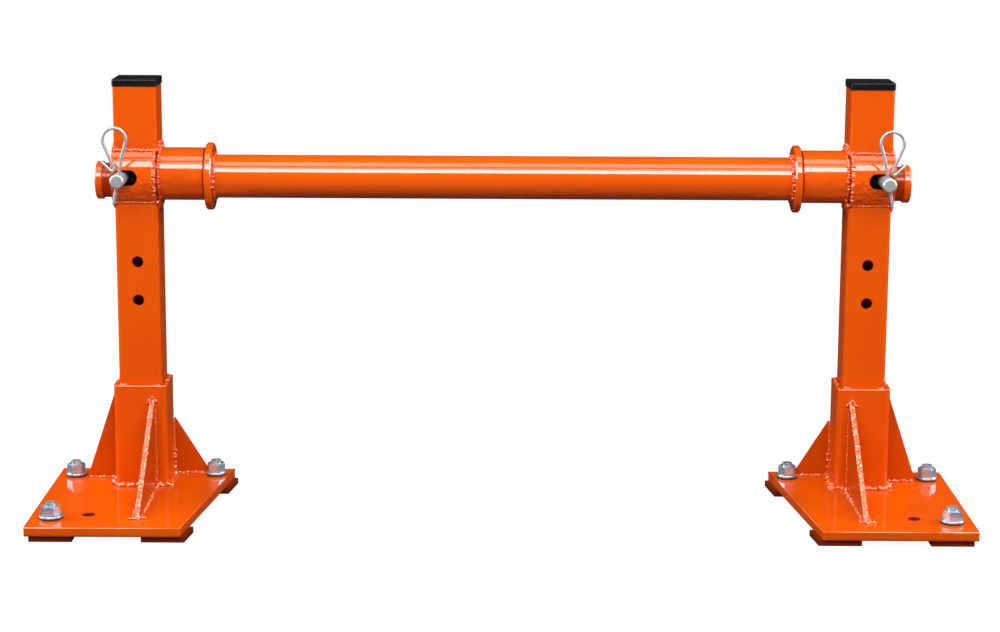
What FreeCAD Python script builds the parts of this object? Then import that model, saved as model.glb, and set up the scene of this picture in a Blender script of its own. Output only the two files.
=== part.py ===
import FreeCAD, Part
import math
import os
import re
import Sketcher

os.makedirs("parts", exist_ok=True)
doc = FreeCAD.newDocument("CableDrumJack")

# driving sizes in millimetres
sizeList = [
    ("spindle_half", 382.5, "half length of the spindle tube"),
    ("post_out", 40, "post centre beyond the end of the spindle tube"),
    ("frame_y", 77.75, "post centre behind the middle of the footprint"),
    ("pad_high", 7, "foot pad thickness"),
    ("plate_high", 10, "base plate thickness"),
    ("axis_z", 383, "sleeve axis above the floor"),
    ("post_wide", 50, "post tube across flats"),
    ("post_wall", 4, "post tube wall"),
    ("post_round", 5, "post tube outer corner radius"),
    ("post_top", 487, "top end of the post above the floor"),
    ("post_hole_wide", 13, "holes in the front wall of the post"),
    ("post_hole_upper", 283, "upper front hole above the floor"),
    ("post_hole_lower", 238, "lower front hole above the floor"),
    ("socket_wide", 62, "socket tube across flats"),
    ("socket_bore", 51, "socket tube inside across flats"),
    ("socket_top", 137, "top rim of the socket above the floor"),
    ("socket_round", 7, "socket outer corner radius"),
    ("inside_round", 1.6, "inside corner radius of the tubes"),
    ("plate_out", 105.5, "outer edge of the plate outward of the post centre"),
    ("plate_in_front", 67.5, "inner front corner inward of the post centre"),
    ("plate_in_back", 101.5, "inner back corner inward of the post centre"),
    ("plate_front", 200, "front edge ahead of the post centre"),
    ("plate_back", 43, "back edge behind the post centre"),
    ("plate_corner", 3, "corner radius of the plate"),
    ("anchor_in", 64, "anchor hole in from the outer edge"),
    ("anchor_y", 148, "anchor hole ahead of the post centre"),
    ("anchor_wide", 14.5, "anchor hole across"),
    ("bolt_wide", 12, "foot bolt shank"),
    ("bolt_play", 13, "foot bolt hole"),
    ("bolt_head_wide", 22, "foot bolt head across"),
    ("bolt_head_high", 4, "foot bolt head thickness"),
    ("bolt_recess_wide", 23, "recess for the bolt head"),
    ("bolt_recess_high", 4.5, "depth of the recess"),
    ("bolt_proud", 3.4, "bolt end above the nut"),
    ("bolt_front_in", 24, "front outer bolt in from the outer edge"),
    ("bolt_front_y", 163, "front outer bolt ahead of the post centre"),
    ("bolt_back_in", 21, "back outer bolt in from the outer edge"),
    ("bolt_back_y", 11, "back outer bolt behind the post centre"),
    ("bolt_inner_in", 20, "back inner bolt out from the inner back corner"),
    ("bolt_inner_y", 18, "back inner bolt behind the post centre"),
    ("washer_front_wide", 27, "front washer across"),
    ("washer_back_wide", 24, "back washers across"),
    ("washer_high", 4.4, "washer thickness"),
    ("nut_flats", 19, "nut across flats"),
    ("nut_high", 10.8, "nut height"),
    ("pad_inset", 5, "pads in from the plate edge"),
    ("pad_long", 48, "pad length across the stand"),
    ("pad_overhang", 4, "inner pads beyond the slanted edge"),
    ("pad_front_inset", 3, "front pads behind the front edge"),
    ("pad_deep_inner", 38, "depth of the front inner pad"),
    ("pad_deep_outer", 56, "depth of the front outer pad"),
    ("pad_deep_back", 46, "depth of the back pads"),
    ("gusset_thick", 6, "gusset plate thickness"),
    ("gusset_front_in", 14.5, "front gusset inward of the post centre"),
    ("gusset_front_reach", 165, "front gusset foot ahead of the post centre"),
    ("gusset_front_top", 121, "front gusset top above the floor"),
    ("gusset_nose", 2.5, "blunt end of a gusset"),
    ("gusset_outer_reach", 38, "outer gusset foot length"),
    ("gusset_outer_top", 130, "outer gusset top above the floor"),
    ("gusset_outer_y", 4, "outer gusset front face behind the post centre"),
    ("gusset_inner_reach", 41, "inner gusset foot length"),
    ("gusset_inner_top", 84, "inner gusset top above the floor"),
    ("gusset_inner_y", 26, "inner gusset front face behind the post centre"),
    ("collar_r", 39, "collar outer radius"),
    ("collar_inner_end", 23, "collar end inward of the post centre"),
    ("collar_outer_end", 27, "collar end outward of the post centre"),
    ("sleeve_r", 30.5, "sleeve tube outer radius"),
    ("bore_r", 28, "bore of the sleeve"),
    ("sleeve_inner_end", 77, "sleeve end inward of the post centre"),
    ("slot_wide", 18, "pin slot height"),
    ("slot_long", 10.6, "pin slot centre to centre"),
    ("pin_out", 16, "lock pin outward of the post centre"),
    ("pin_z", 382.3, "lock pin axis above the floor"),
    ("pin_r", 8, "lock pin radius"),
    ("pin_front", 63, "pin front end ahead of the post centre"),
    ("pin_chamfer", 1.5, "chamfer of the pin end"),
    ("pin_head_r", 12, "pin head radius"),
    ("pin_head_y", 39.5, "pin head front face behind the post centre"),
    ("pin_head_thick", 5, "pin head thickness"),
    ("pin_hole_r", 8.6, "cross hole for the pin in the stub"),
    ("clip_y", 55, "clip wire ahead of the post centre"),
    ("clip_r", 1.85, "clip wire radius"),
    ("clip_hole_r", 2.2, "clip hole radius in the pin"),
    ("clip_lean", 11, "lean of the clip leg in degrees"),
    ("clip_tip", 27, "straight leg below the pin axis"),
    ("clip_leg", 53.4, "straight leg from its tip to the first bend"),
    ("clip_leg_turn", 5, "first bend in degrees"),
    ("clip_leg_r", 30, "radius of the first bend"),
    ("clip_rise", 15.8, "straight run up to the bow"),
    ("clip_bow_turn", 218, "turn of the bow in degrees"),
    ("clip_bow_r", 13.2, "radius of the bow"),
    ("clip_spring", 29.5, "straight run of the spring leg"),
    ("clip_tail_turn", 156, "turn at the tail in degrees"),
    ("clip_tail_r", 2.5, "radius of the turn at the tail"),
    ("clip_tail", 15.5, "length of the tail"),
    ("spindle_z", 380.3, "spindle axis above the floor"),
    ("spindle_r", 25, "spindle tube outer radius"),
    ("spindle_wall", 5, "spindle tube wall"),
    ("end_plate_thick", 8, "thickness of the end plates"),
    ("ring_back", 47.5, "ring inner face back from the end of the spindle tube"),
    ("ring_thick", 8.2, "ring thickness"),
    ("ring_r", 39, "ring outer radius"),
    ("ring_edge", 1.5, "rounded edge of the ring"),
    ("stub_z", 375.3, "stub axis above the floor"),
    ("stub_r", 20, "stub radius"),
    ("disc_out", 79.5, "stop disc inner face beyond the end of the spindle tube"),
    ("disc_thick", 8.6, "stop disc thickness"),
    ("disc_r", 22, "stop disc radius"),
    ("disc_edge", 2, "rounded edge of the stop disc"),
    ("cap_wide", 51.5, "post cap across flats"),
    ("cap_high", 8, "post cap height above the post"),
    ("cap_plug_deep", 14, "plug of the cap inside the post"),
    ("cap_plug_wide", 41.6, "plug across flats"),
    ("cap_plug_wall", 2, "plug wall"),
    ("cap_corner", 4, "upright corner radius of the cap"),
    ("cap_edge", 1.4, "top edge radius of the cap"),
]
sheet = doc.addObject("Spreadsheet::Sheet", "Sizes")
sizes = {}
for row, (word, value, meaning) in enumerate(sizeList, start=1):
    sheet.set("A%d" % row, word)
    sheet.set("B%d" % row, str(value))
    sheet.set("C%d" % row, meaning)
    sheet.setAlias("B%d" % row, word)
    sizes[word] = value
doc.recompute()

# places along the spindle, as sums of the sizes
postX = "spindle_half+post_out"
plateOuter = postX + "+plate_out"
plateInnerFront = postX + "-plate_in_front"
plateInnerBack = postX + "-plate_in_back"
anchorX = plateOuter + "-anchor_in"
boltFrontX = plateOuter + "-bolt_front_in"
boltBackX = plateOuter + "-bolt_back_in"
boltInnerX = plateInnerBack + "+bolt_inner_in"
pinX = postX + "+pin_out"
ringInner = "spindle_half-ring_back"
discInner = "spindle_half+disc_out"


def link(text):
    """the sheet expression for a sum of size words"""
    return re.sub(r"[a-z][a-z_]*", lambda found: "Sizes." + found.group(0), text)


def amount(text):
    """the number that a plain sum of size words stands for"""
    total = 0.0
    for sign, word, half in re.findall(r"([+-]?)([a-z0-9_.]+)(/2)?", text):
        part = sizes[word] if word in sizes else float(word)
        if half:
            part = part / 2.0
        total += -part if sign == "-" else part
    return total


def flip(text):
    """the same sum with every sign turned"""
    if text[0] not in "+-":
        text = "+" + text
    return text.translate(str.maketrans("+-", "-+"))


def span(side, near, far):
    """two distances out from the middle as ends along X"""
    if side < 0:
        return flip(far), flip(near)
    return near, far


def out(side, text):
    return text if side > 0 else flip(text)


def back(text):
    """a distance behind the post centre as a Y of the shared frame"""
    return "frame_y+" + text if text[0] not in "+-" else "frame_y" + text


def place(piece, x, y, z, rotation=None):
    piece.Placement = FreeCAD.Placement(
        FreeCAD.Vector(amount(x), amount(y), amount(z)), rotation or FreeCAD.Rotation())
    piece.setExpression("Placement.Base.x", link(x))
    piece.setExpression("Placement.Base.y", link(y))
    piece.setExpression("Placement.Base.z", link(z))


def box(name, xs, ys, zs):
    piece = doc.addObject("Part::Box", name)
    piece.setExpression("Length", link("(%s)-(%s)" % (xs[1], xs[0])))
    piece.setExpression("Width", link("(%s)-(%s)" % (ys[1], ys[0])))
    piece.setExpression("Height", link("(%s)-(%s)" % (zs[1], zs[0])))
    place(piece, xs[0], ys[0], zs[0])
    return piece


turns = {
    "x": FreeCAD.Rotation(FreeCAD.Vector(0, 1, 0), 90),
    "y": FreeCAD.Rotation(FreeCAD.Vector(1, 0, 0), -90),
    "z": FreeCAD.Rotation(),
}


def rod(name, along, radius, low, high, first, second):
    """a cylinder along one axis; first and second are its other two coordinates"""
    piece = doc.addObject("Part::Cylinder", name)
    piece.setExpression("Radius", link(radius))
    piece.setExpression("Height", link("(%s)-(%s)" % (high, low)))
    spots = {"x": (low, first, second), "y": (first, low, second), "z": (first, second, low)}
    place(piece, *spots[along], rotation=turns[along])
    return piece


def cut(name, base, tool):
    piece = doc.addObject("Part::Cut", name)
    piece.Base = base
    piece.Tool = tool
    return piece


def fuse(name, pieces):
    piece = doc.addObject("Part::MultiFuse", name)
    piece.Shapes = pieces
    return piece


def together(name, pieces):
    piece = doc.addObject("Part::Compound", name)
    piece.Links = pieces
    return piece


def roundUprights(name, base, radius):
    doc.recompute()
    piece = doc.addObject("Part::Fillet", name)
    piece.Base = base
    edges = []
    for number, edge in enumerate(base.Shape.Edges, start=1):
        along = edge.Vertexes[-1].Point - edge.Vertexes[0].Point
        if abs(along.x) < 0.001 and abs(along.y) < 0.001:
            edges.append((number, sizes[radius], sizes[radius]))
    piece.Edges = edges
    return piece


def originPlane(body, role):
    for feature in body.Origin.OriginFeatures:
        if feature.Role == role:
            return feature


def outline(body, name, role, corners):
    """a closed sketch with straight sides, every corner tied to the sheet"""
    sketch = body.newObject("Sketcher::SketchObject", name)
    sketch.AttachmentSupport = (originPlane(body, role), [""])
    sketch.MapMode = "FlatFace"
    spots = [FreeCAD.Vector(amount(x), amount(y), 0) for x, y in corners]
    for number, spot in enumerate(spots):
        sketch.addGeometry(Part.LineSegment(spot, spots[(number + 1) % len(spots)]))
    for number in range(len(spots)):
        sketch.addConstraint(Sketcher.Constraint(
            "Coincident", number, 2, (number + 1) % len(spots), 1))
    for number, (x, y) in enumerate(corners):
        for kind, text in (("DistanceX", x), ("DistanceY", y)):
            where = sketch.addConstraint(Sketcher.Constraint(
                kind, -1, 1, number, 1, amount(text)))
            label = "%s%d" % (kind[-1].lower(), number)
            sketch.renameConstraint(where, label)
            sketch.setExpression("Constraints." + label, link(text))
    return sketch


def circles(body, name, role, spots):
    """a sketch of circles given as x, y and radius"""
    sketch = body.newObject("Sketcher::SketchObject", name)
    sketch.AttachmentSupport = (originPlane(body, role), [""])
    sketch.MapMode = "FlatFace"
    for number, (x, y, radius) in enumerate(spots):
        middle = FreeCAD.Vector(amount(x), amount(y), 0)
        sketch.addGeometry(Part.Circle(middle, FreeCAD.Vector(0, 0, 1), amount(radius)))
        for kind, text in (("DistanceX", x), ("DistanceY", y)):
            where = sketch.addConstraint(Sketcher.Constraint(
                kind, -1, 1, number, 3, amount(text)))
            label = "%s%d" % (kind[-1].lower(), number)
            sketch.renameConstraint(where, label)
            sketch.setExpression("Constraints." + label, link(text))
        where = sketch.addConstraint(Sketcher.Constraint("Radius", number, amount(radius)))
        sketch.renameConstraint(where, "r%d" % number)
        sketch.setExpression("Constraints.r%d" % number, link(radius))
    return sketch


def pad(body, name, sketch, thick):
    feature = body.newObject("PartDesign::Pad", name)
    feature.Profile = sketch
    feature.setExpression("Length", link(thick))
    sketch.Visibility = False
    body.Tip = feature
    return feature


nodes = []


def keep(piece, node):
    piece.Label = node
    nodes.append(piece)


# base plate with its bolt holes and anchor hole
boltSpots = [
    (boltFrontX, "-bolt_front_y", "washer_front_wide"),
    (boltBackX, "bolt_back_y", "washer_back_wide"),
    (boltInnerX, "bolt_inner_y", "washer_back_wide"),
]


def basePlate(side, word):
    body = doc.addObject("PartDesign::Body", word + "PlateBody")
    corners = [
        (out(side, plateOuter), "-plate_front"),
        (out(side, plateInnerFront), "-plate_front"),
        (out(side, plateInnerBack), "plate_back"),
        (out(side, plateOuter), "plate_back"),
    ]
    sketch = outline(body, word + "PlateOutline", "XY_Plane", corners)
    slab = pad(body, word + "PlateSlab", sketch, "plate_high")
    doc.recompute()
    full = slab.Shape.Volume
    spots = [(out(side, x), y, "bolt_play/2") for x, y, wide in boltSpots]
    spots.append((out(side, anchorX), "-anchor_y", "anchor_wide/2"))
    holes = body.newObject("PartDesign::Pocket", word + "PlateHoles")
    holes.Profile = circles(body, word + "PlateHoleSpots", "XY_Plane", spots)
    holes.Type = "ThroughAll"
    holes.Reversed = True
    body.Tip = holes
    doc.recompute()
    if not holes.Shape.Volume < full - 100:
        raise RuntimeError("the plate holes cut nothing")
    rounded = body.newObject("PartDesign::Fillet", word + "PlateCorners")
    upright = []
    for number, edge in enumerate(holes.Shape.Edges, start=1):
        along = edge.Vertexes[-1].Point - edge.Vertexes[0].Point
        if edge.Curve.TypeId == "Part::GeomLine" and abs(along.z) > 5 and len(edge.Vertexes) == 2:
            middle = edge.CenterOfMass
            if min(abs(abs(middle.x) - amount(w)) for w in
                   (plateOuter, plateInnerFront, plateInnerBack)) < 0.01:
                upright.append("Edge%d" % number)
    rounded.Base = (holes, upright)
    rounded.setExpression("Radius", link("plate_corner"))
    body.Tip = rounded
    place(body, "0", "frame_y", "pad_high")
    keep(body, word + "_base_plate")


def footPads(side, word):
    """four pads under the plate, the three with bolts recessed for the heads"""
    inner = plateInnerFront + "-pad_overhang"
    frontY = "-plate_front+pad_front_inset"
    backY = "plate_back-pad_front_inset"
    steepness = ((amount(plateInnerFront) - amount(plateInnerBack))
                 / (sizes["plate_front"] + sizes["plate_back"]))

    def slanted(y):
        """inner edge of the pads at a given y, as a number"""
        return amount(inner) - steepness * (amount(y) + sizes["plate_front"])

    outer = (plateOuter + "-pad_inset-pad_long", plateOuter + "-pad_inset")
    solids = []
    for piece, (near, far), low, high in (
            ("FrontOuter", outer, frontY, frontY + "+pad_deep_outer"),
            ("BackOuter", outer, backY + "-pad_deep_back", backY)):
        xs = span(side, near, far)
        solids.append(box(word + piece, xs, (back(low), back(high)), ("0", "pad_high")))
    for piece, low, high in (
            ("FrontInner", frontY, frontY + "+pad_deep_inner"),
            ("BackInner", backY + "-pad_deep_back", backY)):
        lowX = slanted(low)
        highX = slanted(high)
        corners = [(lowX, low), (lowX + sizes["pad_long"], low),
                   (lowX + sizes["pad_long"], high), (highX, high)]
        shape = doc.addObject("Part::Feature", word + piece)
        points = [FreeCAD.Vector(side * x, amount(back(y)), 0) for x, y in corners]
        face = Part.Face(Part.makePolygon(points + points[:1]))
        shape.Shape = face.extrude(FreeCAD.Vector(0, 0, sizes["pad_high"]))
        shape.Placement = FreeCAD.Placement()
        solids.append(shape)
    done = []
    for solid, spot in zip([solids[0], solids[1], solids[3]], boltSpots):
        x, y = out(side, spot[0]), back(spot[1])
        hole = rod(solid.Name + "Hole", "z", "bolt_play/2", "-1", "pad_high+1", x, y)
        recess = rod(solid.Name + "Recess", "z", "bolt_recess_wide/2", "-1", "bolt_recess_high", x, y)
        done.append(cut(solid.Name + "Bored", solid, fuse(solid.Name + "Tools", [hole, recess])))
    keep(together(word + "Pads", done + [solids[2]]), word + "_foot_pads")


def footBolts(side, word):
    """bolts up through pad and plate, their washers and nuts"""
    bolts, washers, nuts = [], [], []
    under = "bolt_recess_high"
    top = "pad_high+plate_high"
    for number, (x, y, wide) in enumerate(boltSpots):
        x, y = out(side, x), back(y)
        name = word + "Bolt%d" % number
        shank = rod(name + "Shank", "z", "bolt_wide/2", under + "-bolt_head_high",
                    top + "+washer_high+nut_high+bolt_proud", x, y)
        head = rod(name + "Head", "z", "bolt_head_wide/2", under + "-bolt_head_high", under, x, y)
        bolts.append(fuse(name, [shank, head]))
        disc = rod(name + "Disc", "z", wide + "/2", top, top + "+washer_high", x, y)
        hole = rod(name + "DiscHole", "z", "bolt_wide/2+0.35", top + "-1", top + "+washer_high+1", x, y)
        washers.append(cut(name + "Washer", disc, hole))
        prism = doc.addObject("Part::Prism", name + "Prism")
        prism.Polygon = 6
        prism.setExpression("Circumradius", link("nut_flats/1.7320508"))
        prism.setExpression("Height", link("nut_high"))
        place(prism, x, y, top + "+washer_high")
        # the top corners of the nut are turned off by a cone
        cone = doc.addObject("Part::Cone", name + "Cone")
        cone.setExpression("Radius1", link("nut_flats/2+nut_high*1.9"))
        cone.setExpression("Radius2", link("nut_flats/2-0.3"))
        cone.setExpression("Height", link("nut_high"))
        place(cone, x, y, top + "+washer_high")
        turned = doc.addObject("Part::MultiCommon", name + "Turned")
        turned.Shapes = [prism, cone]
        bore = rod(name + "Bore", "z", "bolt_wide/2+0.1", top, top + "+washer_high+nut_high+1", x, y)
        nuts.append(cut(name + "Nut", turned, bore))
    keep(together(word + "Bolts", bolts), word + "_foot_bolts")
    keep(together(word + "Washers", washers), word + "_washers")
    keep(together(word + "Nuts", nuts), word + "_nuts")


def squareTube(side, name, outerHalf, outerRound, innerHalf, innerRound, low, high):
    xs = span(side, postX + "-" + outerHalf, postX + "+" + outerHalf)
    outer = roundUprights(name + "Outer", box(
        name + "Block", xs, ("frame_y-" + outerHalf, "frame_y+" + outerHalf), (low, high)), outerRound)
    xs = span(side, postX + "-" + innerHalf, postX + "+" + innerHalf)
    ys = ("frame_y-" + innerHalf, "frame_y+" + innerHalf)
    core = box(name + "Core", xs, ys, (low + "-1", high + "+1"))
    inner = roundUprights(name + "Inner", core, innerRound)
    return cut(name + "Tube", outer, inner)


def socketAndPost(side, word):
    top = "pad_high+plate_high"
    socket = squareTube(side, word + "Socket", "socket_wide/2", "socket_round",
                        "socket_bore/2", "inside_round", top, "socket_top")
    keep(socket, word + "_socket")
    innerHalf = "post_wide/2-post_wall"
    xs = span(side, postX + "-post_wide/2", postX + "+post_wide/2")
    ys = ("frame_y-post_wide/2", "frame_y+post_wide/2")
    coreX = span(side, postX + "-post_wide/2+post_wall", postX + "+post_wide/2-post_wall")
    coreY = ("frame_y-post_wide/2+post_wall", "frame_y+post_wide/2-post_wall")
    for piece, low, high in (("lower_post", top, "axis_z"), ("upper_post", "axis_z", "post_top")):
        name = word + piece.title().replace("_", "")
        outer = roundUprights(name + "Outer", box(name + "Block", xs, ys, (low, high)), "post_round")
        core = roundUprights(name + "Inner", box(
            name + "Core", coreX, coreY, (low + "-1", high + "+1")), "inside_round")
        tube = cut(name + "Tube", outer, core)
        ends = span(side, postX + "-40", postX + "+40")
        tools = [rod(name + "Saddle", "x", "collar_r", ends[0], ends[1], "frame_y", "axis_z")]
        if piece == "lower_post":
            for spot in ("post_hole_upper", "post_hole_lower"):
                tools.append(rod(name + spot.title().replace("_", ""), "y", "post_hole_wide/2",
                                 "frame_y-40", "frame_y", out(side, postX), spot))
            keep(cut(name + "Piece", tube, fuse(name + "Tools", tools)), word + "_" + piece)
        else:
            keep(cut(name + "Piece", tube, tools[0]), word + "_" + piece)


def slotTool(side, name, wide):
    """the round ended slot that the lock pin passes"""
    ends = span(side, pinX + "-slot_long", pinX)
    ys = ("frame_y-60", "frame_y+60")
    one = rod(name + "One", "y", wide + "/2", ys[0], ys[1], ends[0], "axis_z")
    two = rod(name + "Two", "y", wide + "/2", ys[0], ys[1], ends[1], "axis_z")
    middle = box(name + "Middle", ends, ys, ("axis_z-" + wide + "/2", "axis_z+" + wide + "/2"))
    return fuse(name, [one, two, middle])


def collarAndSleeve(side, word):
    for piece, radius, bore, near, far in (
            ("collar", "collar_r", "sleeve_r", postX + "-collar_inner_end", postX + "+collar_outer_end"),
            ("sleeve", "sleeve_r", "bore_r", postX + "-sleeve_inner_end", postX + "+collar_outer_end")):
        name = word + piece.title()
        low, high = span(side, near, far)
        body = rod(name + "Round", "x", radius, low, high, "frame_y", "axis_z")
        hollow = rod(name + "Bore", "x", bore, low + "-1", high + "+1", "frame_y", "axis_z")
        tools = fuse(name + "Tools", [hollow, slotTool(side, name + "Slot", "slot_wide")])
        keep(cut(name + "Piece", body, tools), word + "_" + piece)


def gussets(side, word):
    top = "pad_high+plate_high"
    body = doc.addObject("PartDesign::Body", word + "FrontGussetBody")
    corners = [
        ("-socket_wide/2", "0"),
        ("-gusset_front_reach", "0"),
        ("-gusset_front_reach", "gusset_nose/2"),
        ("-socket_wide/2-gusset_nose/2", "gusset_front_top-pad_high-plate_high"),
        ("-socket_wide/2", "gusset_front_top-pad_high-plate_high"),
    ]
    pad(body, word + "FrontGussetPad", outline(
        body, word + "FrontGussetOutline", "YZ_Plane", corners), "gusset_thick")
    place(body, out(side, postX + "-gusset_front_in") + "-gusset_thick/2", "frame_y", top)
    keep(body, word + "_front_gusset")
    for piece, turn, reach, high, y in (
            ("outer", 1, "gusset_outer_reach", "gusset_outer_top", "gusset_outer_y"),
            ("inner", -1, "gusset_inner_reach", "gusset_inner_top", "gusset_inner_y")):
        name = word + piece.title() + "Gusset"
        body = doc.addObject("PartDesign::Body", name + "Body")
        facing = side * turn
        corners = [
            (out(facing, "socket_wide/2"), "0"),
            (out(facing, "socket_wide/2+" + reach), "0"),
            (out(facing, "socket_wide/2+" + reach), "gusset_nose"),
            (out(facing, "socket_wide/2+gusset_nose/2"), high + "-pad_high-plate_high"),
            (out(facing, "socket_wide/2"), high + "-pad_high-plate_high"),
        ]
        pad(body, name + "Pad", outline(body, name + "Outline", "XZ_Plane", corners), "gusset_thick")
        place(body, out(side, postX), "frame_y+" + y + "+gusset_thick", top)
        keep(body, word + "_" + piece + "_gusset")


def postCap(side, word):
    """square plastic cap with a hollow plug that sits in the post"""
    body = doc.addObject("PartDesign::Body", word + "CapBody")
    half = "cap_wide/2"
    head = pad(body, word + "CapHead", outline(body, word + "CapOutline", "XY_Plane", [
        ("-" + half, "-" + half), (half, "-" + half), (half, half), ("-" + half, half)]), "cap_high")
    doc.recompute()
    plugHalf = "cap_plug_wide/2"
    plug = body.newObject("PartDesign::Pad", word + "CapPlug")
    plug.Profile = outline(body, word + "CapPlugOutline", "XY_Plane", [
        ("-" + plugHalf, "-" + plugHalf), (plugHalf, "-" + plugHalf),
        (plugHalf, plugHalf), ("-" + plugHalf, plugHalf)])
    plug.setExpression("Length", link("cap_plug_deep"))
    plug.Reversed = True
    body.Tip = plug
    doc.recompute()
    before = plug.Shape.Volume
    hollowHalf = "cap_plug_wide/2-cap_plug_wall"
    hollow = body.newObject("PartDesign::Pocket", word + "CapHollow")
    hollow.Profile = outline(body, word + "CapHollowOutline", "XY_Plane", [
        (flip(hollowHalf), flip(hollowHalf)), (hollowHalf, flip(hollowHalf)),
        (hollowHalf, hollowHalf), (flip(hollowHalf), hollowHalf)])
    hollow.setExpression("Length", link("cap_plug_deep"))
    body.Tip = hollow
    doc.recompute()
    if not hollow.Shape.Volume < before - 100:
        raise RuntimeError("the cap hollow cut nothing")
    upright, rim = [], []
    for number, edge in enumerate(hollow.Shape.Edges, start=1):
        ends = [vertex.Point for vertex in edge.Vertexes]
        half = sizes["cap_wide"] / 2
        if abs(abs(ends[0].x) - half) > 0.01 and abs(abs(ends[0].y) - half) > 0.01:
            continue
        if abs(ends[0].z - ends[1].z) > 1:
            upright.append("Edge%d" % number)
    corners = body.newObject("PartDesign::Fillet", word + "CapCorners")
    corners.Base = (hollow, upright)
    corners.setExpression("Radius", link("cap_corner"))
    body.Tip = corners
    doc.recompute()
    for number, edge in enumerate(corners.Shape.Edges, start=1):
        if min(vertex.Point.z for vertex in edge.Vertexes) > sizes["cap_high"] - 0.01:
            rim.append("Edge%d" % number)
    top = body.newObject("PartDesign::Fillet", word + "CapRim")
    top.Base = (corners, rim)
    top.setExpression("Radius", link("cap_edge"))
    body.Tip = top
    place(body, out(side, postX), "frame_y", "post_top")
    keep(body, word + "_post_cap")


def lean(side):
    """direction of the straight clip leg, leaning towards the middle"""
    angle = math.radians(sizes["clip_lean"])
    return FreeCAD.Vector(-side * math.sin(angle), 0, math.cos(angle))


def lockPin(side, word):
    shank = rod(word + "PinShank", "y", "pin_r", "frame_y-pin_front", "frame_y+pin_head_y",
                out(side, pinX), "pin_z")
    doc.recompute()
    edged = doc.addObject("Part::Chamfer", word + "PinEdge")
    edged.Base = shank
    front = amount("frame_y-pin_front")
    edged.Edges = [(number, sizes["pin_chamfer"], sizes["pin_chamfer"])
                   for number, edge in enumerate(shank.Shape.Edges, start=1)
                   if abs(edge.BoundBox.YMin - front) < 0.01 and abs(edge.BoundBox.YMax - front) < 0.01]
    head = rod(word + "PinHead", "y", "pin_head_r", "frame_y+pin_head_y",
               "frame_y+pin_head_y+pin_head_thick", out(side, pinX), "pin_z")
    hole = doc.addObject("Part::Cylinder", word + "PinHole")
    hole.setExpression("Radius", link("clip_hole_r"))
    hole.Height = 40
    way = lean(side)
    start = FreeCAD.Vector(side * amount(pinX), amount("frame_y-clip_y"), sizes["pin_z"]) - way * 20
    hole.Placement = FreeCAD.Placement(start, FreeCAD.Rotation(FreeCAD.Vector(0, 0, 1), way))
    keep(cut(word + "PinPiece", fuse(word + "PinWhole", [edged, head]), hole), word + "_lock_pin")


def clip(side, word):
    """bent wire clip: a straight leg through the pin, a round bow and a spring leg with a turned-out tail"""
    spot = FreeCAD.Vector(side * amount(pinX), amount("frame_y-clip_y"), sizes["pin_z"])
    spot = spot - lean(side) * sizes["clip_tip"]
    foot = FreeCAD.Vector(spot)
    heading = 90 - sizes["clip_lean"]
    edges = []

    def way(angle):
        return FreeCAD.Vector(-side * math.cos(math.radians(angle)), 0, math.sin(math.radians(angle)))

    def ahead(length):
        edges.append(Part.makeLine(spot, spot + way(heading) * length))
        return spot + way(heading) * length

    def bend(turn, radius):
        """an arc that turns outward for a positive angle"""
        hub = spot + way(heading + math.copysign(90, turn)) * radius
        middle = hub - way(heading + turn / 2 + math.copysign(90, turn)) * radius
        last = hub - way(heading + turn + math.copysign(90, turn)) * radius
        edges.append(Part.Arc(spot, middle, last).toShape())
        return last

    spot = ahead(sizes["clip_leg"])
    spot = bend(-sizes["clip_leg_turn"], sizes["clip_leg_r"])
    heading = heading - sizes["clip_leg_turn"]
    spot = ahead(sizes["clip_rise"])
    spot = bend(sizes["clip_bow_turn"], sizes["clip_bow_r"])
    heading = heading + sizes["clip_bow_turn"]
    spot = ahead(sizes["clip_spring"])
    spot = bend(-sizes["clip_tail_turn"], sizes["clip_tail_r"])
    heading = heading - sizes["clip_tail_turn"]
    spot = ahead(sizes["clip_tail"])
    disc = Part.Face(Part.Wire([Part.Circle(foot, lean(side), sizes["clip_r"]).toShape()]))
    piece = doc.addObject("Part::Feature", word + "ClipWire")
    piece.Shape = Part.Wire(edges).makePipe(disc)
    piece.Placement = FreeCAD.Placement()
    keep(piece, word + "_r_clip")


def revolved(name, profile, height):
    """a turned piece about a line along X at the given height"""
    body = doc.addObject("PartDesign::Body", name + "Body")
    sketch = outline(body, name + "Outline", "XZ_Plane", profile)
    turned = body.newObject("PartDesign::Revolution", name + "Turned")
    turned.Profile = sketch
    turned.ReferenceAxis = (sketch, ["H_Axis"])
    turned.Angle = 360
    body.Tip = turned
    place(body, "0", "frame_y", height)
    return body


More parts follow.
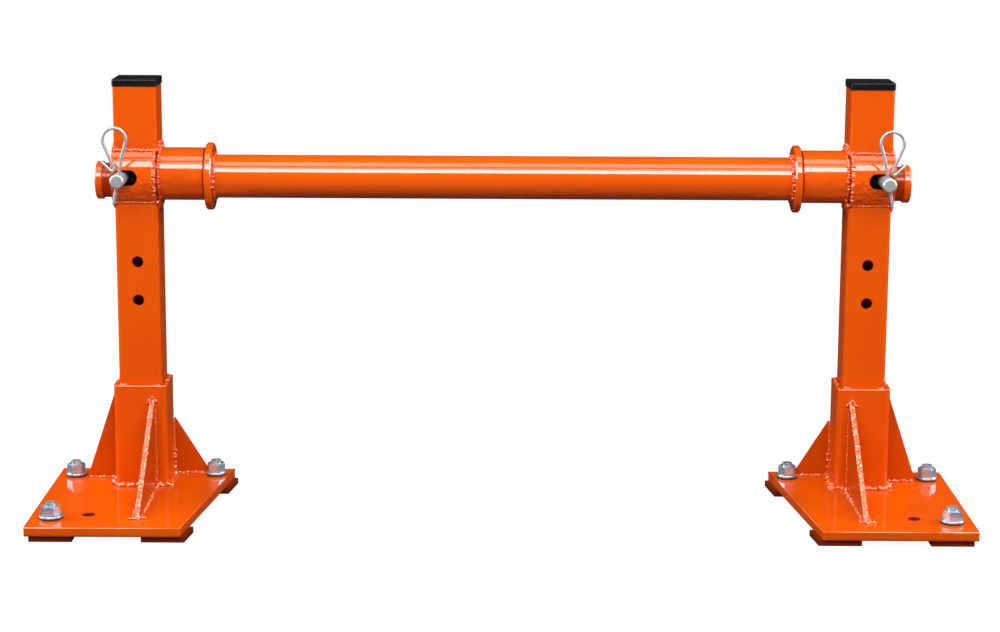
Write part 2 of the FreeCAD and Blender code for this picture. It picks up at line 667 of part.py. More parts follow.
def spindle():
    body = revolved("Spindle", [
        ("-spindle_half", "spindle_r-spindle_wall"), ("spindle_half", "spindle_r-spindle_wall"),
        ("spindle_half", "spindle_r"), ("-spindle_half", "spindle_r")], "spindle_z")
    keep(body, "spindle_tube")
    for side, word in ((-1, "left"), (1, "right")):
        low, high = span(side, ringInner, ringInner + "+ring_thick")
        body = revolved(word + "Ring", [
            (low, "spindle_r"), (high, "spindle_r"), (high, "ring_r-ring_edge"),
            (high + "-ring_edge", "ring_r"), (low + "+ring_edge", "ring_r"),
            (low, "ring_r-ring_edge")], "spindle_z")
        keep(body, word + "_ring")
        low, high = span(side, "spindle_half", "spindle_half+end_plate_thick")
        keep(rod(word + "EndPlate", "x", "spindle_r", low, high, "frame_y", "spindle_z"),
             word + "_end_plate")
        low, high = span(side, "spindle_half+end_plate_thick", discInner)
        bar = rod(word + "StubBar", "x", "stub_r", low, high, "frame_y", "stub_z")
        hole = rod(word + "StubHole", "y", "pin_hole_r", "frame_y-40", "frame_y+40",
                   out(side, pinX), "pin_z")
        keep(cut(word + "StubPiece", bar, hole), word + "_stub")
        low, high = span(side, discInner, discInner + "+disc_thick")
        disc = rod(word + "DiscBlank", "x", "disc_r", low, high, "frame_y", "stub_z")
        doc.recompute()
        rims = doc.addObject("Part::Fillet", word + "DiscRims")
        rims.Base = disc
        rims.Edges = [(number, sizes["disc_edge"], sizes["disc_edge"])
                      for number, edge in enumerate(disc.Shape.Edges, start=1)
                      if edge.BoundBox.XLength < 0.01]
        keep(rims, word + "_stop_disc")


for side, word in ((-1, "left"), (1, "right")):
    basePlate(side, word)
    footPads(side, word)
    footBolts(side, word)
    socketAndPost(side, word)
    collarAndSleeve(side, word)
    gussets(side, word)
    postCap(side, word)
    lockPin(side, word)
    clip(side, word)
spindle()
doc.recompute()

for piece in doc.Objects:
    if "Invalid" in piece.State or "Error" in piece.State:
        raise RuntimeError("%s did not recompute: %s" % (piece.Name, piece.State))
for piece in nodes:
    if piece.Shape.isNull() or not piece.Shape.isValid():
        raise RuntimeError("%s has no valid shape" % piece.Label)
for piece in nodes:
    piece.Shape.exportStep("parts/%s.step" % piece.Label)
    print("%-22s %9.1f mm3, %d solids" % (piece.Label, piece.Shape.Volume, len(piece.Shape.Solids)))
low = FreeCAD.BoundBox()
for piece in nodes:
    low.add(piece.Shape.BoundBox)
print("overall", low)
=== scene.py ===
import math
import random
import bpy
from mathutils import Euler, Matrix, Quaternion, Vector


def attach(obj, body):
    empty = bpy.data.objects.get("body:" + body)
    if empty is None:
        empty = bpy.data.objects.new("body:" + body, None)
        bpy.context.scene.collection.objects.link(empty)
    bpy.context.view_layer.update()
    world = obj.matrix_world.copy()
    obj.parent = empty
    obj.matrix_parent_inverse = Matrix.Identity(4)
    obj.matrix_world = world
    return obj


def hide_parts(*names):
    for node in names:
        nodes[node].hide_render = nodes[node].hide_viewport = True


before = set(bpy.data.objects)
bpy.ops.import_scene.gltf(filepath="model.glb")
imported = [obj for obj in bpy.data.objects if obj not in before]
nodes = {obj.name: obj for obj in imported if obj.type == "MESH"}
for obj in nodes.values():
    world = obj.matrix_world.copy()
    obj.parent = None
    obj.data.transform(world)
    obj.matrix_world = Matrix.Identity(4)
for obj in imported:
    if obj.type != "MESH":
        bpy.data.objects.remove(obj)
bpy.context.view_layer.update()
sides = (("left", -1), ("right", 1))
mm = 0.001
print("frame loaded,", len(nodes), "nodes")

# Main lines of the jack, in millimetres
layout = {
    "postX": 422.5,         # post centre from the middle
    "postY": 77.75,         # post centre behind the middle of the footprint
    "plateTop": 17.0,       # heights over the floor
    "socketTop": 137.0,
    "sleeveZ": 383.0,
    "spindleZ": 380.3,
    "ringInner": 335.0,
    "postHalf": 25,
    "collarRadius": 39,
}


def spot(side, inward, back, up):       # a point given from a post's centre, in metres
    return Vector((side * (layout["postX"] - inward), layout["postY"] + back, up)) * mm


def clearPick():
    if bpy.context.object and bpy.context.object.mode != "OBJECT":
        bpy.ops.object.mode_set(mode="OBJECT")
    bpy.ops.object.select_all(action="DESELECT")


def pickOnly(piece):
    clearPick()
    piece.select_set(True)
    bpy.context.view_layer.objects.active = piece


def applyTool(piece, kind, **values):       # one modifier, applied straight away
    pickOnly(piece)
    tool = piece.modifiers.new(kind.title(), kind)
    for word, value in values.items():
        setattr(tool, word, value)
    bpy.ops.object.modifier_apply(modifier=tool.name)


def namePiece(name):        # the primitive just added becomes a piece with its place in its mesh
    piece = bpy.context.object
    piece.name = name
    piece.data.name = name
    bpy.ops.object.transform_apply(location=True, rotation=True, scale=True)
    return piece


def dress(piece, body, material, angle=40):
    pickOnly(piece)
    bpy.ops.object.shade_smooth_by_angle(angle=math.radians(angle))
    piece.data.materials.clear()
    piece.data.materials.append(material)
    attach(piece, body)


# Materials

def addNode(tree, kind, **values):
    node = tree.nodes.new(kind)
    for word, value in values.items():
        if word in node.inputs:
            node.inputs[word].default_value = value
        else:
            setattr(node, word, value)
    return node


skinShape = {
    "edgeRays": 6,
    "waveBump": 0.001,      # metres
    "grainBump": 0.0003,
    "cloudLow": 0.35,       # the part of the clouds that spans both tones
    "cloudHigh": 0.65,
}


def makeSkinGroup():
    # rounded edges, a fine skin and slow clouds, for paint, plating and plastic alike
    group = bpy.data.node_groups.new("skin", "ShaderNodeTree")
    face = group.interface
    for word, value in (("Grain Size", 300.0), ("Grain Depth", 0.1), ("Wave Size", 60.0),
                        ("Wave Depth", 0.1), ("Cloud Size", 9.0), ("Edge", 0.0008),
                        ("Rough Low", 0.1), ("Rough High", 0.2)):
        socket = face.new_socket(name=word, in_out="INPUT", socket_type="NodeSocketFloat")
        socket.default_value = value
    face.new_socket(name="Shade", in_out="OUTPUT", socket_type="NodeSocketFloat")
    face.new_socket(name="Roughness", in_out="OUTPUT", socket_type="NodeSocketFloat")
    face.new_socket(name="Normal", in_out="OUTPUT", socket_type="NodeSocketVector")
    given = group.nodes.new("NodeGroupInput")
    result = group.nodes.new("NodeGroupOutput")
    place = addNode(group, "ShaderNodeTexCoord")
    grain = addNode(group, "ShaderNodeTexNoise", Detail=2.0)
    wave = addNode(group, "ShaderNodeTexNoise", Detail=1.0)
    cloud = addNode(group, "ShaderNodeTexNoise", Detail=3.0)
    rounded = addNode(group, "ShaderNodeBevel", samples=skinShape["edgeRays"])
    slow = addNode(group, "ShaderNodeBump", Distance=skinShape["waveBump"])
    fine = addNode(group, "ShaderNodeBump", Distance=skinShape["grainBump"])
    shade = addNode(group, "ShaderNodeMapRange")
    shade.inputs["From Min"].default_value = skinShape["cloudLow"]
    shade.inputs["From Max"].default_value = skinShape["cloudHigh"]
    rough = addNode(group, "ShaderNodeMapRange")
    join = group.links.new
    for texture, word in ((grain, "Grain Size"), (wave, "Wave Size"), (cloud, "Cloud Size")):
        join(place.outputs["Object"], texture.inputs["Vector"])
        join(given.outputs[word], texture.inputs["Scale"])
    join(given.outputs["Edge"], rounded.inputs["Radius"])
    join(rounded.outputs["Normal"], slow.inputs["Normal"])
    join(wave.outputs["Fac"], slow.inputs["Height"])
    join(given.outputs["Wave Depth"], slow.inputs["Strength"])
    join(slow.outputs["Normal"], fine.inputs["Normal"])
    join(grain.outputs["Fac"], fine.inputs["Height"])
    join(given.outputs["Grain Depth"], fine.inputs["Strength"])
    join(cloud.outputs["Fac"], shade.inputs["Value"])
    join(shade.outputs["Result"], rough.inputs["Value"])
    join(given.outputs["Rough Low"], rough.inputs["To Min"])
    join(given.outputs["Rough High"], rough.inputs["To Max"])
    join(shade.outputs["Result"], result.inputs["Shade"])
    join(rough.outputs["Result"], result.inputs["Roughness"])
    join(fine.outputs["Normal"], result.inputs["Normal"])
    return group


def makeBoreShadeGroup():
    # marks what lies near the sleeve's axis between two ends, where painted shade darkens the
    # inside of the bores
    group = bpy.data.node_groups.new("boreShade", "ShaderNodeTree")
    face = group.interface
    for word in ("Radius", "Low End", "High End"):
        face.new_socket(name=word, in_out="INPUT", socket_type="NodeSocketFloat")
    face.new_socket(name="Mask", in_out="OUTPUT", socket_type="NodeSocketFloat")
    given = group.nodes.new("NodeGroupInput")
    result = group.nodes.new("NodeGroupOutput")
    place = addNode(group, "ShaderNodeTexCoord")
    split = addNode(group, "ShaderNodeSeparateXYZ")
    across = addNode(group, "ShaderNodeCombineXYZ")
    axis = addNode(group, "ShaderNodeCombineXYZ", Y=layout["postY"] * mm, Z=layout["sleeveZ"] * mm)
    reach = addNode(group, "ShaderNodeVectorMath", operation="DISTANCE")
    outward = addNode(group, "ShaderNodeMath", operation="ABSOLUTE")
    near = addNode(group, "ShaderNodeMath", operation="LESS_THAN")
    past = addNode(group, "ShaderNodeMath", operation="GREATER_THAN")
    before = addNode(group, "ShaderNodeMath", operation="LESS_THAN")
    both = addNode(group, "ShaderNodeMath", operation="MULTIPLY")
    every = addNode(group, "ShaderNodeMath", operation="MULTIPLY")
    join = group.links.new
    join(place.outputs["Object"], split.inputs[0])
    join(split.outputs["Y"], across.inputs["Y"])
    join(split.outputs["Z"], across.inputs["Z"])
    join(across.outputs[0], reach.inputs[0])
    join(axis.outputs[0], reach.inputs[1])
    join(split.outputs["X"], outward.inputs[0])
    for test, value, limit in ((near, reach.outputs["Value"], "Radius"),
                               (past, outward.outputs[0], "Low End"),
                               (before, outward.outputs[0], "High End")):
        join(value, test.inputs[0])
        join(given.outputs[limit], test.inputs[1])
    join(near.outputs[0], both.inputs[0])
    join(past.outputs[0], both.inputs[1])
    join(both.outputs[0], every.inputs[0])
    join(before.outputs[0], every.inputs[1])
    join(every.outputs[0], result.inputs["Mask"])
    return group


skinGroup = makeSkinGroup()
boreShadeGroup = makeBoreShadeGroup()


def makeFinish(name, look, shadeSpan=None):      # the last argument: the bore darkened inside with painted shade, one of the listed bores
    material = bpy.data.materials.new(name)
    material.use_nodes = True
    tree = material.node_tree
    shader = tree.nodes["Principled BSDF"]
    skin = tree.nodes.new("ShaderNodeGroup")
    skin.node_tree = skinGroup
    for word, value in look["skin"].items():
        skin.inputs[word].default_value = value
    tint = tree.nodes.new("ShaderNodeMix")
    tint.data_type = "RGBA"
    tint.inputs["A"].default_value = (*look["light"], 1)
    tint.inputs["B"].default_value = (*look["deep"], 1)
    tree.links.new(skin.outputs["Shade"], tint.inputs["Factor"])
    colour = tint.outputs["Result"]
    if shadeSpan:
        boreShade = tree.nodes.new("ShaderNodeGroup")
        boreShade.node_tree = boreShadeGroup
        for word, value in zip(("Radius", "Low End", "High End"), shadeSpan):
            boreShade.inputs[word].default_value = value
        # painted shade: near-black over the paint inside the bore
        shadeMix = tree.nodes.new("ShaderNodeMix")
        shadeMix.data_type = "RGBA"
        shadeMix.inputs["B"].default_value = (*boreShadeDark, 1)
        tree.links.new(boreShade.outputs["Mask"], shadeMix.inputs["Factor"])
        tree.links.new(colour, shadeMix.inputs["A"])
        colour = shadeMix.outputs["Result"]
    tree.links.new(colour, shader.inputs["Base Color"])
    tree.links.new(skin.outputs["Roughness"], shader.inputs["Roughness"])
    tree.links.new(skin.outputs["Normal"], shader.inputs["Normal"])
    for word, value in look["shader"].items():
        shader.inputs[word].default_value = value
    return material


# Looks: two tones, the skin group's inputs and the shader's own sockets

smoothSkin = {
    "Grain Size": 420.0, "Grain Depth": 0.05, "Wave Size": 70.0, "Wave Depth": 0.06,
    "Cloud Size": 7.0, "Edge": 0.0015, "Rough Low": 0.30, "Rough High": 0.38,
}
boreShadeDark = (0.010, 0.008, 0.007)      # painted shade: near-black laid inside the bores, where they fall dark
stubShadePaintLook = {       # a darker copy of the paint as painted shade, between collar and stop disc
    "light": (0.34, 0.0330, 0.0006),
    "deep": (0.27, 0.0240, 0.0006),
    "skin": {**smoothSkin, "Grain Depth": 0.10, "Wave Depth": 0.10, "Cloud Size": 20.0,
             "Edge": 0.0010, "Rough Low": 0.34, "Rough High": 0.44},
    "shader": {"Specular IOR Level": 0.02, "Coat Weight": 0.6,
               "Coat Roughness": 0.12, "Coat IOR": 1.5},
}
paintLook = {
    "light": (0.66, 0.0785, 0.0008),
    "deep": (0.62, 0.069, 0.0008),
    "skin": smoothSkin,
    "shader": {"Specular IOR Level": 0.02, "Coat Weight": 1.0,
               "Coat Roughness": 0.05, "Coat IOR": 1.72},
}
postShadePaintLook = {       # a darker copy of the paint, as painted shade on the square tubes
    "light": (0.595, 0.0700, 0.0006),
    "deep": (0.555, 0.0620, 0.0006),
    "skin": smoothSkin,
    "shader": {"Specular IOR Level": 0.01, "Coat Weight": 0.55,
               "Coat Roughness": 0.14, "Coat IOR": 1.55},
}
gussetShadePaintLook = {     # darker still as painted shade, on the low sockets and gussets
    "light": (0.500, 0.0560, 0.0005),
    "deep": (0.450, 0.0480, 0.0005),
    "skin": {**smoothSkin, "Cloud Size": 9.0},
    "shader": {"Specular IOR Level": 0.01, "Coat Weight": 0.4,
               "Coat Roughness": 0.12, "Coat IOR": 1.55},
}
rollHighlightPaintLook = {       # rounds of thick paint on the edges, in a lighter tone as a painted highlight
    "light": (0.70, 0.095, 0.0030),
    "deep": (0.64, 0.080, 0.0020),
    "skin": {"Grain Size": 600.0, "Grain Depth": 0.1, "Wave Size": 120.0, "Wave Depth": 0.2,
             "Cloud Size": 30.0, "Edge": 0.0002, "Rough Low": 0.25, "Rough High": 0.35},
    "shader": {"Specular IOR Level": 0.1, "Coat Weight": 1.0,
               "Coat Roughness": 0.10, "Coat IOR": 2.0},
}
edgedShadePaintLook = {      # on the base plates, a darker copy as painted shade against their lit tops
    "light": (0.580, 0.0730, 0.0006),
    "deep": (0.535, 0.0630, 0.0006),
    "skin": {**smoothSkin, "Wave Depth": 0.10, "Edge": 0.0040},
    "shader": {"Specular IOR Level": 0.01, "Coat Weight": 0.6,
               "Coat Roughness": 0.10, "Coat IOR": 1.55},
}
unevenPaintLook = {     # the same on the machined sleeves and collars, sprayed thick
    "light": (0.66, 0.0785, 0.0008),
    "deep": (0.60, 0.060, 0.0010),
    "skin": {"Grain Size": 900.0, "Grain Depth": 0.60, "Wave Size": 120.0, "Wave Depth": 0.8,
             "Cloud Size": 14.0, "Edge": 0.0015, "Rough Low": 0.28, "Rough High": 0.38},
    "shader": {"Specular IOR Level": 0.02, "Coat Weight": 1.0,
               "Coat Roughness": 0.07, "Coat IOR": 1.7},
}
# painted light: a lighter copy of the paint on the collars, under a hammered skin
hammeredLitPaintLook = {
    "light": (0.74, 0.0860, 0.0008),
    "deep": (0.62, 0.0620, 0.0008),
    "skin": {"Grain Size": 620.0, "Grain Depth": 1.0, "Wave Size": 140.0, "Wave Depth": 3.0,
             "Cloud Size": 18.0, "Edge": 0.0012, "Rough Low": 0.26, "Rough High": 0.38},
    "shader": {"Specular IOR Level": 0.02, "Coat Weight": 1.0,
               "Coat Roughness": 0.05, "Coat IOR": 1.6},
}
cutHighlightPaintLook = {        # over the ripples of a flame cut, in a lighter, pinker tone as a painted highlight
    "light": (0.68, 0.110, 0.0060),
    "deep": (0.62, 0.080, 0.0030),
    "skin": {"Grain Size": 700.0, "Grain Depth": 1.0, "Wave Size": 420.0, "Wave Depth": 1.0,
             "Cloud Size": 40.0, "Edge": 0.0004, "Rough Low": 0.20, "Rough High": 0.30},
    "shader": {"Specular IOR Level": 0.1, "Coat Weight": 1.0,
               "Coat Roughness": 0.03, "Coat IOR": 2.3},
}
weldPaintLook = {       # ground and welded places under the same paint
    "light": (0.66, 0.0785, 0.0008),
    "deep": (0.58, 0.056, 0.0010),
    "skin": {"Grain Size": 800.0, "Grain Depth": 0.6, "Wave Size": 320.0, "Wave Depth": 1.0,
             "Cloud Size": 20.0, "Edge": 0.0006, "Rough Low": 0.20, "Rough High": 0.32},
    "shader": {"Specular IOR Level": 0.1, "Coat Weight": 1.0,
               "Coat Roughness": 0.03, "Coat IOR": 1.95},
}
# painted shade: the pads' paint made much darker for the shade under the plate
padShadePaintLook = {
    "light": (0.170, 0.0180, 0.001),
    "deep": (0.110, 0.0120, 0.001),
    "skin": {**smoothSkin, "Grain Depth": 0.08, "Wave Depth": 0.08, "Cloud Size": 12.0,
             "Edge": 0.0010, "Rough Low": 0.34, "Rough High": 0.44},
    "shader": {"Specular IOR Level": 0.02, "Coat Weight": 0.6,
               "Coat Roughness": 0.08, "Coat IOR": 1.5},
}
zincLook = {
    "light": (0.62, 0.76, 0.88),
    "deep": (0.46, 0.58, 0.70),
    "skin": {"Grain Size": 1500.0, "Grain Depth": 0.06, "Wave Size": 300.0, "Wave Depth": 0.08,
             "Cloud Size": 60.0, "Edge": 0.0003, "Rough Low": 0.16, "Rough High": 0.28},
    "shader": {"Metallic": 0.75},
}
pinLook = {
    "light": (0.52, 0.56, 0.59),
    "deep": (0.42, 0.46, 0.49),
    "skin": {"Grain Size": 1800.0, "Grain Depth": 0.12, "Wave Size": 260.0, "Wave Depth": 0.05,
             "Cloud Size": 80.0, "Edge": 0.0004, "Rough Low": 0.30, "Rough High": 0.42},
    "shader": {"Metallic": 0.6},
}
wireLook = {
    "light": (0.47, 0.50, 0.53),
    "deep": (0.36, 0.39, 0.42),
    "skin": {"Grain Size": 900.0, "Grain Depth": 0.05, "Wave Size": 200.0, "Wave Depth": 0.04,
             "Cloud Size": 60.0, "Edge": 0.0002, "Rough Low": 0.28, "Rough High": 0.36},
    "shader": {"Metallic": 0.5},
}
capLook = {
    "light": (0.008, 0.008, 0.009),
    "deep": (0.005, 0.005, 0.006),
    "skin": {"Grain Size": 900.0, "Grain Depth": 0.25, "Wave Size": 120.0, "Wave Depth": 0.05,
             "Cloud Size": 30.0, "Edge": 0.0013, "Rough Low": 0.22, "Rough High": 0.30},
    "shader": {"Specular IOR Level": 0.24},
}
rubberLook = {
    "light": (0.030, 0.026, 0.024),
    "deep": (0.018, 0.016, 0.015),
    "skin": {"Grain Size": 1200.0, "Grain Depth": 0.3, "Wave Size": 200.0, "Wave Depth": 0.1,
             "Cloud Size": 60.0, "Edge": 0.0003, "Rough Low": 0.45, "Rough High": 0.60},
    "shader": {"Specular IOR Level": 0.4},
}
holeShadePaintLook = {     # painted shade: a thin dark lining down the walls of the anchor holes
    "light": (0.150, 0.0170, 0.001),
    "deep": (0.100, 0.0110, 0.001),
    "skin": {"Grain Size": 600.0, "Grain Depth": 0.2, "Wave Size": 200.0, "Wave Depth": 0.1,
             "Cloud Size": 60.0, "Edge": 0.0002, "Rough Low": 0.40, "Rough High": 0.50},
    "shader": {"Specular IOR Level": 0.1},
}
shadedBores = {       # bores darkened inside with painted shade: radius, low end and high end from the middle, in metres
    "collar": (0.0381, 0.4010, 0.4485),
    "sleeve": (0.0301, 0.3470, 0.4492),
    "stub": (0.0450, 0.3000, 0.4500),
}
paint = makeFinish("orangePaint", paintLook)
weldPaint = makeFinish("orangePaintOverWeld", weldPaintLook)
edgedShadePaint = makeFinish("orangePaintShadedOnPlate", edgedShadePaintLook)
postShadePaint = makeFinish("orangePaintShadedOnPosts", postShadePaintLook)
gussetShadePaint = makeFinish("orangePaintShadedOnGussets", gussetShadePaintLook)
rollHighlightPaint = makeFinish("orangePaintHighlightOnEdges", rollHighlightPaintLook)
cutHighlightPaint = makeFinish("orangePaintHighlightOnCut", cutHighlightPaintLook)
collarLitPaint = makeFinish("orangePaintLitOnCollar", hammeredLitPaintLook, shadedBores["collar"])
sleevePaint = makeFinish("orangePaintOnSleeve", unevenPaintLook, shadedBores["sleeve"])
stubShadePaint = makeFinish("orangePaintShadedOnStub", stubShadePaintLook, shadedBores["stub"])
padShadePaint = makeFinish("orangePaintInShade", padShadePaintLook)
zinc = makeFinish("zincPlating", zincLook)
pinSteel = makeFinish("turnedPinSteel", pinLook)
wireSteel = makeFinish("clipWireSteel", wireLook)
blackPlastic = makeFinish("blackCapPlastic", capLook)
darkRubber = makeFinish("darkRubber", rubberLook)
holeShadePaint = makeFinish("orangePaintedHoleShade", holeShadePaintLook)
print("materials made")

# Finishes of the carried-over nodes, by the end of the name; the rest takes the plain paint
nodeFinish = (
    ("collar", collarLitPaint), ("sleeve", sleevePaint), ("stub", stubShadePaint),
    ("foot_pads", padShadePaint), ("base_plate", edgedShadePaint),
    ("upper_post", postShadePaint), ("lower_post", postShadePaint), ("socket", postShadePaint),
    ("gusset", gussetShadePaint), ("lock_pin", pinSteel), ("r_clip", wireSteel),
    ("washers", zinc), ("nuts", zinc), ("foot_bolts", zinc), ("post_cap", blackPlastic),
)
for nodeName, node in nodes.items():
    chosen = paint
    for ending, finish in nodeFinish:
        if nodeName.endswith(ending):
            chosen = finish
    node.data.materials.clear()
    node.data.materials.append(chosen)


# Weld beads: drops laid along a seam, then run together

weld = {
    "pitch": 0.70,      # step between drops against the bead's radius
    "squeeze": 0.62,    # drop length along the seam against its width
    "wander": 0.30,     # how far a drop strays, against the radius
    "thin": 0.62,       # smallest and largest drop against the radius
    "fat": 1.28,
    "voxel": 0.24,      # grid of the run-together bead, against the radius
    "smallest": 0.45,   # finest grid in millimetres
    "soften": 0.5,      # strength of the smoothing
    "standSeed": 40,    # seeds of the first stand, of its next and of the rings
    "nextSeed": 20,
    "ringSeed": 90,
    "ringBefore": 0.8,  # seam of a spindle ring: before its inner face, its radius and its bead
    "ringSeam": 26.2,
    "ringBead": 2.0,
}
seamAt = {
    # where the seams run, in millimetres
    "overPlate": 0.6,
    "overRim": 0.4,
    "socketHalf": 32.4,     # round the foot of the socket
    "socketCorner": 7.8,
    "postFace": 25.2,       # faces of the post, from its centre
    "postInner": 24.2,
    "overCollar": 0.6,      # over and under the line where the collar meets the post's face
    "underCollar": 0.2,
    "collarSide": 37.5,     # over the axis, down the post's sides
    "collarEnd": (22.2, 38.6),      # inward of the post's centre, radius about the axis
    "sleeveEnd": (26.2, 31.8),
    "collarBulge": (25.2, 36.6),
}
beads = {
    # radius in millimetres and seed after the stand's own
    "SocketBaseWeld": (3.7, 1),
    "FrontGussetBaseWeld": (2.5, 2),
    "FrontGussetPostWeld": (2.3, 3),
    "OuterGussetWeld": (2.5, 4),
    "InnerGussetWeld": (2.5, 5),
    "SocketRimWeld": (2.1, 6),
    "CollarEdgeWeld": (2.2, 7),
    "SleeveWeld": (2.1, 8),
    "UprightWeld": (1.1, 9),
    "CollarUnderWeld": (1.2, 10),
}


def stepsAlong(path, step):
    total = sum((b - a).length for a, b in zip(path, path[1:]))
    count = max(2, round(total / step) + 1)
    spacing = total / (count - 1)
    steps, walked, wanted = [], 0.0, 0.0
    for a, b in zip(path, path[1:]):
        length = (b - a).length
        while wanted <= walked + length + 1e-9 and len(steps) < count:
            steps.append((a.lerp(b, (wanted - walked) / length), (b - a).normalized()))
            wanted += spacing
        walked += length
    return steps


def weldBead(name, paths, radius, seed, body):
    chance = random.Random(seed)
    size = radius * mm
    clearPick()
    bpy.ops.object.add(type="MESH", location=(0, 0, 0))
    piece = namePiece(name)
    bpy.ops.object.mode_set(mode="EDIT")
    for path in paths:
        for place, way in stepsAlong(path, size * weld["pitch"]):
            stray = [chance.uniform(-1, 1) * size * weld["wander"] for _ in range(3)]
            bpy.ops.mesh.primitive_ico_sphere_add(
                subdivisions=2, radius=size * chance.uniform(weld["thin"], weld["fat"]),
                location=place + Vector(stray), scale=(weld["squeeze"], 1, 1),
                rotation=way.to_track_quat("X", "Z").to_euler())
    bpy.ops.object.mode_set(mode="OBJECT")
    grid = max(weld["smallest"], radius * weld["voxel"]) * mm
    applyTool(piece, "REMESH", mode="VOXEL", voxel_size=grid)
    applyTool(piece, "SMOOTH", factor=weld["soften"], iterations=1)
    dress(piece, body, weldPaint, angle=80)


def roundedSquare(side, half, corner, up):      # a closed path round a post
    path = []
    for turn in range(4):
        for part in range(4):
            angle = math.radians(turn * 90 + part * 30)
            hub = half - corner
            x = (hub if turn in (0, 3) else -hub) + corner * math.cos(angle)
            y = (hub if turn in (0, 1) else -hub) + corner * math.sin(angle)
            path.append(spot(side, x, y, up))
    return path + path[:1]


def ringPath(side, x, up, radius, first=0.0, last=360.0):
    # an arc about a line along X, at x from the middle of the jack
    count = max(4, int(abs(last - first) / 10))
    path = []
    for part in range(count + 1):
        angle = math.radians(first + (last - first) * part / count)
        path.append(Vector((side * x, layout["postY"] + radius * math.cos(angle),
                            up + radius * math.sin(angle))) * mm)
    return path


def weldsOfStand(word, side, seed):     # points are inward, back and up from the post's centre
    low = layout["plateTop"] + seamAt["overPlate"]
    top = layout["socketTop"] + seamAt["overRim"]
    post, axis = layout["postX"], layout["sleeveZ"]
    rise = math.sqrt(layout["collarRadius"] ** 2 - layout["postHalf"] ** 2)

    def seam(*points):
        return [spot(side, *point) for point in points]

    def bead(name, *paths):
        radius, step = beads[name]
        weldBead(word + name, paths, radius, seed + step, word + "_stand")

    bead("SocketBaseWeld",
         roundedSquare(side, seamAt["socketHalf"], seamAt["socketCorner"],
                       low + seamAt["overPlate"]),
         seam((-27, -33.5, low + 0.4), (9, -33.8, low + 0.4)),
         seam((20, -33.4, low), (30, -31, low)), seam((33, -20, low), (33.4, 22, low)),
         seam((31, -33, low), (34.5, -26, low)))
    bead("FrontGussetBaseWeld",
         seam((10.6, -34, low), (10.6, -163, low)), seam((18.4, -34, low), (18.4, -163, low)),
         seam((10.6, -163, low), (11.5, -166.5, low), (17.5, -166.5, low), (18.4, -163, low)),
         seam((4.5, -168.0, low), (12, -167.0, low)), seam((17, -166, low), (23, -162.5, low)))
    bead("UprightWeld",
         seam((11.2, -31.4, 22), (11.2, -31.4, 119)), seam((17.8, -31.4, 22), (17.8, -31.4, 119)),
         seam((-31.4, 3.4, 20), (-31.4, 3.4, 128)), seam((-31.4, 10.6, 20), (-31.4, 10.6, 128)),
         seam((31.2, 25.6, 42), (31.2, 25.6, 82)), seam((31.0, 32.0, 20), (31.0, 32.0, 82)))
    bead("FrontGussetPostWeld",
         seam((9.6, -32.4, 118), (14.5, -33, 124), (19.4, -32.4, 118)))
    bead("OuterGussetWeld",
         seam((-34, 3.0, low), (-67, 3.0, low)), seam((-34, 11.0, low), (-67, 11.0, low)),
         seam((-32, 3.2, 128), (-32, 7, 131), (-32, 10.8, 128)))
    bead("InnerGussetWeld",
         seam((33, 25.0, low), (70, 25.0, low)), seam((33, 33.0, low), (70, 33.0, low)),
         seam((31.4, 25.4, 20), (31.4, 25.4, 46)))
    bead("SocketRimWeld",
         seam((-23, -27, top), (-17, -27.6, top)), seam((17, -27.6, top), (23, -26.6, top)),
         seam((27.6, -8, top), (27.6, 22, top)), seam((-27.6, -6, top), (-27.6, 20, top)),
         seam((-20, 27.6, top), (20, 27.6, top)))
    edges, under = [], []
    for face in (-1, 1):        # across the post's front and back, over and under the collar
        back = face * seamAt["postFace"]
        for group, up in ((edges, rise + seamAt["overCollar"]),
                          (under, -rise - seamAt["underCollar"])):
            group.append(seam((-25, back, axis + up), (23, back, axis + up)))
    for end in (-seamAt["postFace"], seamAt["postInner"]):      # down the post's two sides
        for up in (1, -1):
            high = axis + up * seamAt["collarSide"]
            edges.append(seam((end, -25, axis + up * rise), (end, -12, high),
                              (end, 12, high), (end, 25, axis + up * rise)))
    bead("CollarEdgeWeld", *edges)
    bead("CollarUnderWeld", *under)
    rings = []
    for line, first, last in (("collarEnd", 0.0, 360.0), ("sleeveEnd", 0.0, 360.0),
                               ("collarBulge", 50.0, 128.0), ("collarBulge", 232.0, 310.0)):
        inward, radius = seamAt[line]
        rings.append(ringPath(side, post - inward, axis, radius, first, last))
    bead("SleeveWeld", *rings)


# Foot bolts: threaded ends, chamfered nuts, plated washers on dark rubber ones

bolts = {
    # inward and back of the post's centre, outer radius of the washer, turn of the nut in degrees
    "places": ((-81.5, -163.0, 13.5, 2.0), (-84.5, 11.0, 12.0, -14.0), (81.5, 18.0, 12.0, 9.0)),
    "rubberHigh": 2.1,
    "washerHigh": 2.3,
    "nutHigh": 10.8,
    "washerHole": 6.6,
    "rubberLift": 0.02,     # clear of the plate
    "rubberLess": 0.3,      # smaller than the plated washer
    "rubberEdge": 0.5,
    "washerEdge": 0.7,
    "nutFlats": 19.0,
    "crownFlat": 8.9,       # radius of the flat on top of a nut
    "crownSlope": 28,       # degrees
    "crownSpare": 0.02,     # how far the chamfering drum is wider than the nut
    "sinkUnder": 0.6,       # countersink: under and over the thread's radius, height and centre
    "sinkOver": 1.3,
    "sinkHigh": 2.0,
    "sinkDown": 0.95,
    "threadRadius": 6.0,
    "threadPitch": 1.75,
    "threadDepth": 0.75,
    "threadSunk": 1.6,      # where the modelled thread starts, under the top of the nut
    "threadStump": 1.0,
    "threadStops": 0.5,     # under the end of the bolt
    "endRadius": 4.6,
    "endInset": 1.6,
    "endDent": 0.35,
    "endRise": 0.1,
    "proud": 3.4,
}


